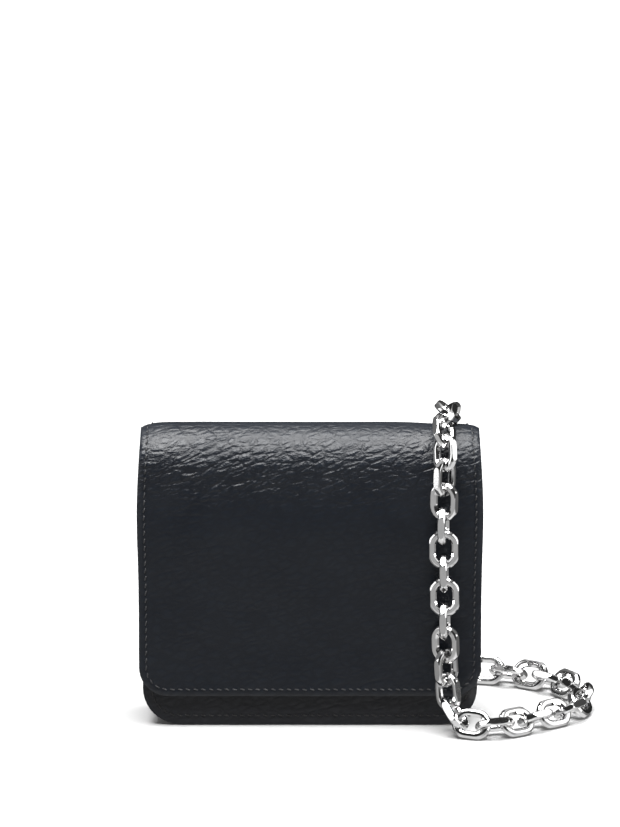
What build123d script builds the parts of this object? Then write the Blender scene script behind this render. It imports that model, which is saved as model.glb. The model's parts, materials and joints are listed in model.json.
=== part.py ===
from build123d import *
from math import cos, pi, radians, sin, tan
import os

# Chain wallet: a small flap wallet in grained leather with a heavy cross-body chain.
# Millimetres, +Z up. The origin is the middle of the base that the wallet stands on, the front
# faces -Y and the back faces +Y. Flat leather parts are sheets in the XZ plane, stacked along Y.

os.makedirs("parts", exist_ok=True)

# Driving dimensions
FLAP_W = 110.0  # width of the flap and of the rounded top
BODY_W = 107.6  # width of the pocket panels
BODY_CORNER = 12.0  # radius of the lower corners of the pocket panels
FLAP_CORNER = 9.5  # radius of the lower corners of the flap
FLAP_LOW = 10.5  # height of the flap's lower edge
FOLD_Z = 84.1  # height at which the panels turn into the rounded top
FRONT_TOP = 70.0  # top edge of the front panel and of the gusset
POCKET_TOP = 78.0  # top edge of the coin pocket, where the zip sits

# Sheet thicknesses
LEATHER = 1.2
LINING = 0.6
BOARD = 0.3
DIVIDER = 0.8
GUSSET = 0.9
THREAD_PROUD = 0.25
THREAD_W = 0.6

# Stack of sheets along Y, from the back to the front
BACK_OUT = 12.0
BILL_GAP = 4.6
COIN_GAP = 4.8
CARD_GAP = 0.9
MAIN_GAP = 4.9
FLAP_GAP = 1.2
BACK_IN = BACK_OUT - LEATHER
BILL_REAR = BACK_IN - LINING
BILL_FRONT = BILL_REAR - BILL_GAP
COIN_REAR = BILL_FRONT - DIVIDER
COIN_FRONT = COIN_REAR - COIN_GAP
COIN_WALL = COIN_FRONT - DIVIDER
CARD_REAR = COIN_WALL - CARD_GAP
CARD_MID = CARD_REAR - DIVIDER - CARD_GAP
MAIN_REAR = CARD_MID - DIVIDER
MAIN_FRONT = MAIN_REAR - MAIN_GAP
FRONT_IN = MAIN_FRONT - LINING
FRONT_OUT = FRONT_IN - LEATHER
FLAP_IN = FRONT_OUT - FLAP_GAP
FLAP_OUT = FLAP_IN - LINING - BOARD - LEATHER

# The rounded top: a half tube between the back panel and the flap
TOP_Y = (BACK_OUT + FLAP_OUT) / 2
TOP_R = (BACK_OUT - FLAP_OUT) / 2

# Inner panels
INNER_W = 94.0
INNER_LOW = 1.2
CARD_TOPS = (66.0, 54.0)

# Zip of the coin pocket
ZIP_Y = (COIN_REAR + COIN_FRONT) / 2
ZIP_HALF = 42.0
TAPE_T = 0.5
TEETH_W = 0.85
TEETH_GAP = 0.9
TEETH_T = 1.6
SLIDER_X = 37.0
SLIDER_SIZE = (8.0, 4.5, 3.3)
PIN_R = 0.5

# Press fastener
SNAP_Z = 27.0
SNAP_R = 7.0
SNAP_T = 0.4
BOSS_R = 2.0
BOSS_T = 1.0

# Chain hardware on the back
TAB_X = 24.0
TAB_W = 10.0
BAR_Y = 14.9
BAR_Z = 63.5
RING_WIRE = 1.1
RING_W = 15.0
RING_H = 12.0
RING_TILT = 25.0
HOOK_R = 5.0
HOOK_WIRE = 1.2
GATE_WIRE = 0.9
GATE_ANGLES = (-35.0, 45.0)
GATE_REACH = 5.85  # from the gate's pivot to its tip, which is cut round that pivot
GATE_SLACK = 0.25
BARREL_R = 2.4
EYE_R = 2.6
EYE_WIRE = 0.9

# Chain
CHAIN_R = 4.6
CHAIN_Z = 4.8  # height of the chain's middle line where it lies on the ground
COIL_AT = (-6.0, 72.0)
COIL_OUT = 38.2
COIL_IN = 19.2
COIL_H = 17.4
COIL_LOW = 0.2


def save(shape, name):
    """Write one sub-part, or a group of loose pieces, under its own name."""
    if isinstance(shape, list):
        shape = Compound(children=shape)
    shape.label = name
    export_step(shape, f"parts/{name}.step")


def sheet(width, low, high, corner, y_front, y_back):
    """A flat sheet that stands in the XZ plane, with its two lower corners rounded."""
    middle = Location((0, (y_front + y_back) / 2, (low + high) / 2))
    plain = middle * Box(width, y_back - y_front, high - low)
    lower_edges = plain.edges().filter_by(Axis.Y).group_by(Axis.Z)[0]
    return fillet(lower_edges, corner)


def u_band(width, low, high, corner, wall, y_front, y_back):
    """A band that runs down one side, along the bottom and up the other side."""
    outer = sheet(width, low, high, corner, y_front, y_back)
    hollow = sheet(width - 2 * wall, low + wall, high + wall, corner - wall, y_front - 1, y_back + 1)
    return outer - hollow


def block(x_range, y_range, z_range):
    """A box given by its limits on each axis."""
    size = [high - low for low, high in (x_range, y_range, z_range)]
    middle = [(low + high) / 2 for low, high in (x_range, y_range, z_range)]
    return Location(middle) * Box(*size)


def rod_y(radius, x, y_front, y_back, z):
    """A round rod along Y."""
    middle = Location((x, (y_front + y_back) / 2, z), (90, 0, 0))
    return middle * Cylinder(radius, y_back - y_front)


def rod_x(radius, x, length, y, z):
    """A round rod along X."""
    return Location((x, y, z), (0, 90, 0)) * Cylinder(radius, length)


def top_shell(width, outer_r, inner_r):
    """A half tube along X, open side down, round the axis of the rounded top."""
    tube = rod_x(outer_r, 0, width, TOP_Y, FOLD_Z) - rod_x(inner_r, 0, width + 2, TOP_Y, FOLD_Z)
    reach = outer_r + 1
    upper = block((-width, width), (TOP_Y - reach, TOP_Y + reach), (FOLD_Z, FOLD_Z + reach))
    return tube & upper


def make_back():
    """Back panel with its lining and its seam."""
    save(sheet(BODY_W + 0.8, 0, FOLD_Z, BODY_CORNER, BACK_IN, BACK_OUT), "back_panel_leather")
    lining_w = BODY_W - 2 * GUSSET
    lining = sheet(lining_w, GUSSET, FOLD_Z - 1, BODY_CORNER - GUSSET, BILL_REAR, BACK_IN)
    save(lining, "back_panel_lining")
    seam_in = 3.0
    seam = u_band(
        BODY_W - 2 * seam_in, seam_in, FOLD_Z - 1, BODY_CORNER - seam_in, THREAD_W,
        BACK_OUT, BACK_OUT + THREAD_PROUD,
    )
    save(seam, "back_panel_stitching")


def make_front():
    """Front panel with its lining, its seam and the fixed half of the press fastener."""
    save(sheet(BODY_W, 0, FRONT_TOP, BODY_CORNER, FRONT_OUT, FRONT_IN), "front_panel_leather")
    lining_w = BODY_W - 2 * GUSSET
    lining = sheet(lining_w, GUSSET, FRONT_TOP - 1, BODY_CORNER - GUSSET, FRONT_IN, MAIN_FRONT)
    save(lining, "front_panel_lining")
    seam_in = 3.0
    seam = u_band(
        BODY_W - 2 * seam_in, seam_in, FRONT_TOP - 1, BODY_CORNER - seam_in, THREAD_W,
        FRONT_OUT - THREAD_PROUD, FRONT_OUT,
    )
    save(seam, "front_panel_stitching")
    plate_front = FRONT_OUT - SNAP_T
    plate = rod_y(SNAP_R, 0, plate_front, FRONT_OUT, SNAP_Z)
    boss = rod_y(BOSS_R, 0, plate_front - BOSS_T, plate_front, SNAP_Z)
    save(plate + boss, "press_stud")


def make_gusset():
    """The strip that joins the front and back panels round the sides and the bottom."""
    band = u_band(BODY_W, 0, FRONT_TOP, BODY_CORNER, GUSSET, FRONT_IN, BACK_IN)
    band -= sheet(BODY_W - 2 * GUSSET, GUSSET, FRONT_TOP, BODY_CORNER - GUSSET, FRONT_IN, MAIN_FRONT)
    save(band, "gusset_band")


def make_inside():
    """Bill divider, coin pocket and the two stepped card panels."""
    corner = 8.0
    save(sheet(INNER_W, INNER_LOW, POCKET_TOP, corner, COIN_REAR, BILL_FRONT), "bill_divider")
    save(sheet(INNER_W, INNER_LOW, POCKET_TOP, corner, COIN_WALL, COIN_FRONT), "coin_pocket_wall")
    bag_wall = 0.3
    bag_top = POCKET_TOP - 2.0
    bag = sheet(INNER_W - 2, INNER_LOW, bag_top, corner, COIN_FRONT, COIN_REAR)
    room_w = INNER_W - 2 - 2 * bag_wall
    room_low = INNER_LOW + bag_wall
    bag -= sheet(
        room_w, room_low, bag_top + 1, corner - bag_wall, COIN_FRONT + bag_wall, COIN_REAR - bag_wall
    )
    save(bag, "coin_pocket_bag")
    rears = (CARD_REAR, CARD_MID)
    for name, rear, top in zip(("card_panel_rear", "card_panel_front"), rears, CARD_TOPS):
        save(sheet(INNER_W, INNER_LOW, top, corner, rear - DIVIDER, rear), name)


def make_zip():
    """Zip of the coin pocket: tapes, teeth, stops, slider and pull."""
    tape_low = POCKET_TOP
    teeth_low = tape_low + TAPE_T / 2 - TEETH_T / 2
    inner = TEETH_GAP / 2
    outer = inner + TEETH_W
    long = (-ZIP_HALF, ZIP_HALF)
    tape_long = (-ZIP_HALF - 3, ZIP_HALF + 3)
    teeth_z = (teeth_low, teeth_low + TEETH_T)
    tape_z = (tape_low, tape_low + TAPE_T)
    save(block(long, (ZIP_Y + inner, ZIP_Y + outer), teeth_z), "zip_teeth_rear")
    save(block(long, (ZIP_Y - outer, ZIP_Y - inner), teeth_z), "zip_teeth_front")
    save(block(tape_long, (ZIP_Y + outer, BILL_FRONT), tape_z), "zip_tape_rear")
    save(block(tape_long, (COIN_WALL, ZIP_Y - outer), tape_z), "zip_tape_front")
    stop_z = (teeth_low - 0.1, teeth_low + TEETH_T + 0.1)
    stops = [
        block((side * (ZIP_HALF + 0.7) - 0.6, side * (ZIP_HALF + 0.7) + 0.6),
              (ZIP_Y - outer + 0.05, ZIP_Y + outer - 0.05), stop_z)
        for side in (-1, 1)
    ]
    save(stops, "zip_stops")
    make_slider(teeth_low, outer, tape_z)


def make_slider(teeth_low, outer, tape_z):
    """The slider round the teeth, with the bridge that holds the pull, and the pull."""
    length, depth, height = SLIDER_SIZE
    middle_z = teeth_low + TEETH_T / 2
    ends = (SLIDER_X - length / 2, SLIDER_X + length / 2)
    play = 0.2
    body = block(ends, (ZIP_Y - depth / 2, ZIP_Y + depth / 2), (middle_z - height / 2, middle_z + height / 2))
    body = fillet(body.edges().filter_by(Axis.Z), 1.6)
    past = (ends[0] - 1, ends[1] + 1)
    channel = block(
        past, (ZIP_Y - outer - play, ZIP_Y + outer + play), (teeth_low - play, teeth_low + TEETH_T + play)
    )
    slot = block(past, (ZIP_Y - depth, ZIP_Y + depth), (tape_z[0] - play, tape_z[1] + play))
    post_half = TEETH_GAP / 2 - play * 0.75
    post = block(
        (ends[1] - 3.0, ends[1] - 0.8), (ZIP_Y - post_half, ZIP_Y + post_half),
        (middle_z - height / 2, middle_z + height / 2),
    )
    top_z = middle_z + height / 2
    pin_z = top_z + 0.9
    bridge_half = 0.8
    bridge = block(
        (SLIDER_X - 1.7, SLIDER_X + 1.7), (ZIP_Y - bridge_half, ZIP_Y + bridge_half),
        (top_z - 0.2, top_z + 2.0),
    )
    bridge = fillet(bridge.edges().filter_by(Axis.Y).group_by(Axis.Z)[-1], 1.4)
    bridge -= rod_y(PIN_R + 0.2, SLIDER_X, ZIP_Y - 2, ZIP_Y + 2, pin_z)
    save(body - channel - slot + post + bridge, "zip_slider")

    arm_in = bridge_half + 0.3
    arm_out = arm_in + 0.8
    pull_t = 0.9
    pull_z = (pin_z - pull_t / 2, pin_z + pull_t / 2)
    arm_long = 3.2
    pull_long = 10.0
    pin = rod_y(PIN_R, SLIDER_X, ZIP_Y - arm_out + 0.1, ZIP_Y + arm_out - 0.1, pin_z)
    arms = [
        block(
            (SLIDER_X - arm_long, SLIDER_X + 0.6), sorted((ZIP_Y + s * arm_in, ZIP_Y + s * arm_out)), pull_z
        )
        for s in (-1, 1)
    ]
    tab = block(
        (SLIDER_X - pull_long, SLIDER_X - arm_long), (ZIP_Y - arm_out, ZIP_Y + arm_out), pull_z
    )
    tab = fillet(tab.edges().filter_by(Axis.Z).group_by(Axis.X)[0], 1.7)
    save(pin + arms[0] + arms[1] + tab, "zip_pull")


def make_top():
    """The rounded top between the back panel and the flap."""
    save(top_shell(FLAP_W, TOP_R, TOP_R - LEATHER), "top_leather")
    save(top_shell(FLAP_W - 1.2, TOP_R - LEATHER, TOP_R - LEATHER - LINING), "top_lining")
    seam_x = FLAP_W / 2 - 2.6
    seam = top_shell(THREAD_W, TOP_R + THREAD_PROUD, TOP_R)
    save([Location((side * seam_x, 0, 0)) * seam for side in (-1, 1)], "top_stitching")


def make_flap():
    """Flap: leather outside, a thin board, lining, seam and its half of the press fastener."""
    board_front = FLAP_IN - LINING - BOARD
    leather = sheet(FLAP_W, FLAP_LOW, FOLD_Z, FLAP_CORNER, FLAP_OUT, board_front)
    save(leather, "flap_leather")
    inset = 0.6
    recess = rod_y(BOSS_R + 0.8, 0, FLAP_IN - LINING, FLAP_IN + 1, SNAP_Z)
    board = sheet(
        FLAP_W - 4 * inset, FLAP_LOW + 2 * inset, FOLD_Z - 2, FLAP_CORNER - 2 * inset,
        board_front, board_front + BOARD,
    )
    save(board, "flap_board")
    lining = sheet(
        FLAP_W - 2 * inset, FLAP_LOW + inset, FOLD_Z, FLAP_CORNER - inset, FLAP_IN - LINING, FLAP_IN
    )
    save(lining - recess, "flap_lining")
    seam_in = 2.3
    seam_top = FOLD_Z - 1.5
    seam = u_band(
        FLAP_W - 2 * seam_in, FLAP_LOW + seam_in, seam_top, FLAP_CORNER - seam_in, THREAD_W,
        FLAP_OUT - THREAD_PROUD, FLAP_OUT,
    )
    save(seam, "flap_stitching")
    cup = rod_y(SNAP_R, 0, FLAP_IN, FLAP_IN + SNAP_T, SNAP_Z)
    save(cup - rod_y(BOSS_R + 0.6, 0, FLAP_IN - 1, FLAP_IN + 1, SNAP_Z), "press_socket")


def make_tab(side, name):
    """Leather tab on the back panel, folded round the ring's bar, and its rivet."""
    x = side * TAB_X
    loop_in = RING_WIRE + 0.25
    loop_out = BAR_Y - BACK_OUT
    plate = block(
        (x - TAB_W / 2, x + TAB_W / 2), (BACK_OUT, BACK_OUT + 2 * LEATHER), (BAR_Z + 1.5, BAR_Z + 16.5)
    )
    tab = plate + rod_x(loop_out, x, TAB_W, BAR_Y, BAR_Z)
    tab -= rod_x(loop_in, x, TAB_W + 2, BAR_Y, BAR_Z)
    rivet_z = BAR_Z + 10.5
    shank_r = 1.2
    head_r = 3.2
    head_t = 0.9
    plate_out = BACK_OUT + 2 * LEATHER
    tab -= rod_y(shank_r, x, BACK_OUT - 1, plate_out + 1, rivet_z)
    save(tab, f"ring_tab_{name}")
    shank = rod_y(shank_r, x, BACK_OUT, plate_out, rivet_z)
    head = rod_y(head_r, x, plate_out, plate_out + head_t, rivet_z)
    head = fillet(head.edges().group_by(Axis.Y)[-1], 0.7)
    save(shank + head, f"tab_rivet_{name}")


def make_ring(side, name):
    """D-ring: its straight bar lies in the tab, its bow hangs down and stands off the back."""
    flat = Rectangle(RING_W, RING_H)
    flat = fillet(flat.vertices().group_by(Axis.Y)[0], 6.4)
    flat = fillet(flat.vertices().group_by(Axis.Y)[-1], 1.6)
    path = flat.wire()
    start = path.edges().sort_by(Axis.Y)[-1] @ 0.5
    wire = sweep(Plane(origin=start, z_dir=(1, 0, 0)) * Circle(RING_WIRE), path=path)
    hung = Location((0, 0, -RING_H / 2), (90, 0, 0)) * wire
    place = Location((side * TAB_X, BAR_Y, BAR_Z), (RING_TILT, 0, 0))
    save(place * hung, f"d_ring_{name}")


def hook_centre():
    """Where the middle of a clasp's hook hangs, under the bow of its D-ring."""
    bow_y = BAR_Y + RING_H * sin(radians(RING_TILT))
    bow_z = BAR_Z - RING_H * cos(radians(RING_TILT))
    return bow_y, bow_z - (HOOK_R - HOOK_WIRE - RING_WIRE - 0.2)


def arc_rod(wire_r, first, last):
    """A piece of the hook's round wire in the YZ plane, between two angles from +Y towards +Z."""
    piece = Torus(HOOK_R, wire_r, major_angle=last - first, align=None)
    turned = Location((0, 0, 0), (0, 0, first)) * piece
    standing = Plane(origin=(0, 0, 0), x_dir=(0, 1, 0), z_dir=(1, 0, 0))
    return standing.location * turned


def make_clasp(side, name):
    """Snap hook at the chain's end, and the sprung gate that closes it."""
    y, z = hook_centre()
    place = Location((side * TAB_X, y, z))
    gate_low, gate_high = GATE_ANGLES
    pivot_y = HOOK_R * cos(radians(gate_low))
    pivot_z = HOOK_R * sin(radians(gate_low))
    half_x = 2 * HOOK_WIRE
    tip_angle = 25
    shoulder_angle = 90
    tip = arc_rod(HOOK_WIRE, tip_angle, shoulder_angle)
    tip -= rod_x(GATE_REACH + GATE_SLACK, 0, half_x, pivot_y, pivot_z)
    bend = arc_rod(HOOK_WIRE, shoulder_angle, 360 + gate_low)
    bend -= rod_x(GATE_WIRE + GATE_SLACK, 0, half_x, pivot_y, pivot_z)
    hook = tip + bend
    gate = arc_rod(GATE_WIRE, gate_low, gate_high) & rod_x(GATE_REACH, 0, half_x, pivot_y, pivot_z)
    knuckle = Location((0, pivot_y, pivot_z)) * Sphere(GATE_WIRE)
    barrel_top = -HOOK_R - 0.5
    barrel_low = barrel_top - 6.5
    barrel = Location((0, 0, (barrel_top + barrel_low) / 2)) * Cylinder(BARREL_R, barrel_top - barrel_low)
    eye_z = barrel_low - EYE_R + 0.3
    eye = Location((0, 0, eye_z), (0, 90, 0)) * Torus(EYE_R, EYE_WIRE)
    save(place * (hook + barrel + eye), f"clasp_{name}")
    save(place * (gate + knuckle), f"clasp_gate_{name}")
    return z + eye_z - EYE_R - EYE_WIRE


# Middle line of the chain, point by point, in four stretches that follow on from one another.
FRONT_Y = FLAP_OUT - CHAIN_R - 0.4
HUMP_Z = FOLD_Z + TOP_R + CHAIN_R + 0.5
REAR_Y = 20.4
FOOT_X = 46.5
FOOT_Z = 16.0
CHAIN_END_Z = 31.9  # just under the clasps' eyes
CHAIN_END_Y = hook_centre()[0]


def route_floor_link():
    """Down from the right-hand clasp and along the ground behind the wallet to the rear leg."""
    return [
        (TAB_X, CHAIN_END_Y, CHAIN_END_Z),
        (TAB_X + 0.3, CHAIN_END_Y, 20.0),
        (TAB_X + 1.2, CHAIN_END_Y + 0.8, 10.4),
        (27.2, 25.6, 5.2),
        (33.0, 30.6, CHAIN_Z),
        (40.6, 29.6, CHAIN_Z),
        (45.4, 24.4, 5.4),
        (FOOT_X + 0.45, REAR_Y + 0.36, 10.0),
        (FOOT_X, REAR_Y, FOOT_Z),
    ]


def route_drape():
    """Up the back, over the rounded top and down the front."""
    return [
        (FOOT_X, REAR_Y, FOOT_Z),
        (45.0, REAR_Y - 1.2, 36.0),
        (43.2, REAR_Y - 2.0, 60.0),
        (43.0, 17.6, 84.0),
        (43.4, 16.6, HUMP_Z),
        (41.6, -18.4, HUMP_Z),
        (42.3, FRONT_Y, 80.0),
        (42.9, FRONT_Y + 0.1, 58.0),
        (43.2, FRONT_Y, 36.0),
        (FOOT_X - 1.4, FRONT_Y - 0.2, FOOT_Z),
    ]


def route_floor_run():
    """Round the right-hand side on the ground and back behind the wallet to the coil."""
    return [
        route_drape()[-1],
        (FOOT_X - 0.83, FRONT_Y - 0.26, 10.0),
        (49.4, -23.4, 5.2),
        (56.4, -26.4, CHAIN_Z),
        (66.0, -23.6, CHAIN_Z),
        (75.0, -14.4, CHAIN_Z),
        (84.6, -8.0, CHAIN_Z),
        (89.2, 3.6, CHAIN_Z),
        (87.0, 17.4, CHAIN_Z),
        (79.4, 28.0, CHAIN_Z),
        (69.6, 35.0, CHAIN_Z),
        (58.0, 39.6, CHAIN_Z),
        (44.0, 42.0, CHAIN_Z),
        (29.0, 40.6, CHAIN_Z),
        (14.0, 40.8, CHAIN_Z),
    ]


def route_tail():
    """From the top turn of the coil over its front edge and up to the left-hand clasp."""
    return [
        (4.0, 42.0, 12.4),
        (-5.0, 33.0, 9.0),
        (-14.0, 27.6, CHAIN_Z + 0.3),
        (-21.6, 25.0, 5.6),
        (-TAB_X - 0.6, CHAIN_END_Y + 1.4, 11.0),
        (-TAB_X - 0.3, CHAIN_END_Y + 0.3, 20.0),
        (-TAB_X, CHAIN_END_Y, CHAIN_END_Z),
    ]


def tube(points, name):
    """The chain's outer size along a stretch: straight runs joined by tangent arcs."""
    spots = [Vector(*p) for p in points]
    steps = [b - a for a, b in zip(spots, spots[1:])]
    radii = []
    for before, after in zip(steps, steps[1:]):
        turn = radians(before.get_angle(after))
        radii.append(0.45 * min(before.length, after.length) / tan(turn / 2))
    path = FilletPolyline(*spots, radius=radii)
    solid = sweep(Plane(origin=path @ 0, z_dir=path % 0) * Circle(CHAIN_R), path=path)
    ratio = solid.volume / (pi * CHAIN_R**2 * path.length)
    print(name, "length", round(path.length, 1), "volume ratio", round(ratio, 4),
          "radii", [round(r, 1) for r in radii])
    save(solid, name)


def make_chain():
    """Chain stretches as plain tubes, and the coil of spare chain as one ring."""
    tube(route_floor_link(), "chain_floor_link")
    tube(route_drape(), "chain_drape")
    tube(route_floor_run(), "chain_floor_run")
    tube(route_tail(), "chain_tail")
    ring = Cylinder(COIL_OUT, COIL_H) - Cylinder(COIL_IN, COIL_H + 2)
    ring = fillet(ring.edges().filter_by(GeomType.CIRCLE), 3.5)
    save(Location((*COIL_AT, COIL_LOW + COIL_H / 2)) * ring, "chain_coil")


make_back()
make_front()
make_gusset()
make_inside()
make_zip()
make_top()
make_flap()
for side, name in ((-1, "left"), (1, "right")):
    make_tab(side, name)
    make_ring(side, name)
    eye_low = make_clasp(side, name)
    print("eye lowest point", round(eye_low, 3))
make_chain()
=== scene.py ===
"""Small black flap wallet with a heavy silver cross-body chain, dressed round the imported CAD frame."""
import json
import math
import random
from bisect import bisect_left
from typing import NamedTuple

import bmesh
import bpy
from mathutils import Matrix, Vector, noise
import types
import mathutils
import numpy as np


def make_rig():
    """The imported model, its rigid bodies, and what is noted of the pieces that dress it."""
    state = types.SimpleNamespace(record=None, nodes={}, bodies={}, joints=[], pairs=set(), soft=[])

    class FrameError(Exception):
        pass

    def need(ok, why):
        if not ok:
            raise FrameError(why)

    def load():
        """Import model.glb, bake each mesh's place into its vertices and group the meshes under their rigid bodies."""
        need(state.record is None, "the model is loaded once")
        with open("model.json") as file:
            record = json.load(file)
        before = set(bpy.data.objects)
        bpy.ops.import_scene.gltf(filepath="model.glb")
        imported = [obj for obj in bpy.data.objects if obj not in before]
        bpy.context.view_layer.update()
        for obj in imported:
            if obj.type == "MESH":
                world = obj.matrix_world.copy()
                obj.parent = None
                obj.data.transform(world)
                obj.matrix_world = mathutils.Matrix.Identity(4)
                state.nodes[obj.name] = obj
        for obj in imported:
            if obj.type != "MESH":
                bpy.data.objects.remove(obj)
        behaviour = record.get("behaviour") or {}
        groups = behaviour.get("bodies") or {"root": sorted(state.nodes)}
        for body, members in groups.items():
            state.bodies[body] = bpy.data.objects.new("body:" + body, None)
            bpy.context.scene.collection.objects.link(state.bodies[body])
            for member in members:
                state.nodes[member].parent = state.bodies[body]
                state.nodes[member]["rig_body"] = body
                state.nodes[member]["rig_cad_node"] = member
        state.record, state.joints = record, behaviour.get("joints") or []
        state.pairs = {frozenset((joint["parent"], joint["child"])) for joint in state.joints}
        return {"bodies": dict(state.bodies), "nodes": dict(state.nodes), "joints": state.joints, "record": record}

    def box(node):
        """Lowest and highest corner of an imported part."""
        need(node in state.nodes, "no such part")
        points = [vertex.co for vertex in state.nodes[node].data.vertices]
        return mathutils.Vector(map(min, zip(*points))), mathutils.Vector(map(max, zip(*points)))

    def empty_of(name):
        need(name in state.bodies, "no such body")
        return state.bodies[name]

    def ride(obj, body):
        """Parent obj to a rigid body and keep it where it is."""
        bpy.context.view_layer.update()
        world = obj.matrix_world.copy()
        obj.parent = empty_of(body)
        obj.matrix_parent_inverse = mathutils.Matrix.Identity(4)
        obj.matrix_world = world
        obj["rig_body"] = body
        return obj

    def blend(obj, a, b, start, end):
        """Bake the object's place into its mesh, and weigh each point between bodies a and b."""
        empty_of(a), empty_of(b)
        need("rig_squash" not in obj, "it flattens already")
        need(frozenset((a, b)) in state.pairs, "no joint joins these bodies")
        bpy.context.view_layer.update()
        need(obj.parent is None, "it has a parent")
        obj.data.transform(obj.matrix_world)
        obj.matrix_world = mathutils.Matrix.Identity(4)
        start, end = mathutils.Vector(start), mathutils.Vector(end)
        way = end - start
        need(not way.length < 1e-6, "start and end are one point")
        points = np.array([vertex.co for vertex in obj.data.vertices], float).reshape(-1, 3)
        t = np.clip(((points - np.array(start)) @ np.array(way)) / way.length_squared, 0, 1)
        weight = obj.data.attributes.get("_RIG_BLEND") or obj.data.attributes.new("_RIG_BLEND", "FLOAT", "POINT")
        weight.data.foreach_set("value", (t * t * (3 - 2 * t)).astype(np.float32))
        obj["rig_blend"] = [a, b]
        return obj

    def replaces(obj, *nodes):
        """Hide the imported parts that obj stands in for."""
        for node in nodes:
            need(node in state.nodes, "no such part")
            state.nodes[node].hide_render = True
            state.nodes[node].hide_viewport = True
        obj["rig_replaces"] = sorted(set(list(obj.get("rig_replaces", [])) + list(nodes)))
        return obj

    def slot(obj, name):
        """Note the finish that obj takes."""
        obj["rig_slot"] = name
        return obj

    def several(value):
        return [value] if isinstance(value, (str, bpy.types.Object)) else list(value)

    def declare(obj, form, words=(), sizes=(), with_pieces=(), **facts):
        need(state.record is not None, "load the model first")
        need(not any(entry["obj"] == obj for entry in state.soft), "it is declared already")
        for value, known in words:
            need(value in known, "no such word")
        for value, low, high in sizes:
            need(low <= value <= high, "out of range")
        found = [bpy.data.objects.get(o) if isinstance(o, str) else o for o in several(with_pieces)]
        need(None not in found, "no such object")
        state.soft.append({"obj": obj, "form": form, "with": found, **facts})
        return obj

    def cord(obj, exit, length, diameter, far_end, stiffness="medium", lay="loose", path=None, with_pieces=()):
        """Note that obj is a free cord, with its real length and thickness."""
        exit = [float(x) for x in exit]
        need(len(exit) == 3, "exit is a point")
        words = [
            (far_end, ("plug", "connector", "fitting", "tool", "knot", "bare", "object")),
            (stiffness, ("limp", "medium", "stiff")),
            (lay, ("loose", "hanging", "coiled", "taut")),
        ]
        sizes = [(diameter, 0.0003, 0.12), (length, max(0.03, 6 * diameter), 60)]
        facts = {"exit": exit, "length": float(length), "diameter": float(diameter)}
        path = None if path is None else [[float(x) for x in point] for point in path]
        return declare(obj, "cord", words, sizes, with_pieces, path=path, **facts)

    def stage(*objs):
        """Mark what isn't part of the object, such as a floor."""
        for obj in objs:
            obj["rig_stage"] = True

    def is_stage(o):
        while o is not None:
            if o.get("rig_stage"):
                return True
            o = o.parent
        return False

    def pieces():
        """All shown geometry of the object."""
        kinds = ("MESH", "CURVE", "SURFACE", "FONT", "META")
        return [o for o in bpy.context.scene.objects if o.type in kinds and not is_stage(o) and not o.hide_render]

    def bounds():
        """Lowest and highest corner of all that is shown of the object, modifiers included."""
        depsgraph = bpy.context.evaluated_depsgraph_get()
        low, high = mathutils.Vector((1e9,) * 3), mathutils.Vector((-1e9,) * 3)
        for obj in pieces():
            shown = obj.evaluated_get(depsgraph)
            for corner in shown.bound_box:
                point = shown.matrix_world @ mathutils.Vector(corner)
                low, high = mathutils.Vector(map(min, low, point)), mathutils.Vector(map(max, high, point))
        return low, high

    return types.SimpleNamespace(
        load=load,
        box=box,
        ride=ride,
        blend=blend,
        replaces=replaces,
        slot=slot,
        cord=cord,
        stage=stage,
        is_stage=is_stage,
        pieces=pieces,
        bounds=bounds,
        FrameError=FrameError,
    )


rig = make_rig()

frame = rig.load()
CAD_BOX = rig.bounds()

MM = 0.001
NODES = frame["nodes"]


def in_mm(box):
    """The lowest and the highest corner of a box, in millimetres."""
    return [corner / MM for corner in box]


# Sizes of the wallet, from the frame, in millimetres.
FLAP_LOW_CORNER, FLAP_HIGH_CORNER = in_mm(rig.box("flap_leather"))
TOP_LOW_CORNER, TOP_HIGH_CORNER = in_mm(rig.box("top_leather"))
FRONT_LOW_CORNER, FRONT_HIGH_CORNER = in_mm(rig.box("front_panel_leather"))
FLAP_HALF = FLAP_HIGH_CORNER.x
BACK_HALF = in_mm(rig.box("back_panel_leather"))[1].x
FRONT_HALF = FRONT_HIGH_CORNER.x
FOLD_Z = TOP_LOW_CORNER.z
TOP_R = TOP_HIGH_CORNER.z - FOLD_Z
TOP_Y = TOP_HIGH_CORNER.y - TOP_R
FLAP_OUT = TOP_LOW_CORNER.y
BACK_OUT = TOP_HIGH_CORNER.y
FLAP_LOW = FLAP_LOW_CORNER.z
QUARTER = math.pi / 2 * TOP_R  # from the crest of the rounded top to a fold line

# Sizes that the frame doesn't give, in millimetres.
FLAP_CORNER = 9.5
BODY_CORNER = 12.0
POCKET_CORNER = 4.0
BODY_LOW = 0.35
BACK_LINING_LOW = 1.2
FLAP_THICK = 1.7
BACK_THICK = 1.2
LINING_THICK = 0.35
LINING_IN = 0.6  # how far a lining's edge is inside the leather's
LINING_GAP = 0.02  # between the leather and its lining
SKIN_RIM = 0.35
FLAP_BULGE = 2.0
FLAP_SEAM_IN = 2.3
BODY_SEAM_IN = 3.0
FOLD_REACH = 3.0  # how far the leather bends on either side of a fold line
CHAIN_CROSSES_AT = 43.5

# How far from a sheet's edge its outer columns and its upper rows of points are.
EDGE_STEPS = (0.0, 0.45, 0.9, 1.4, 1.9, 2.4, 2.9, 3.5, 4.3, 5.3)
UPPER_STEPS = (2.2, 1.4, 0.8, 0.4, 0.15, 0.0)


# ---------- materials

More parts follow.
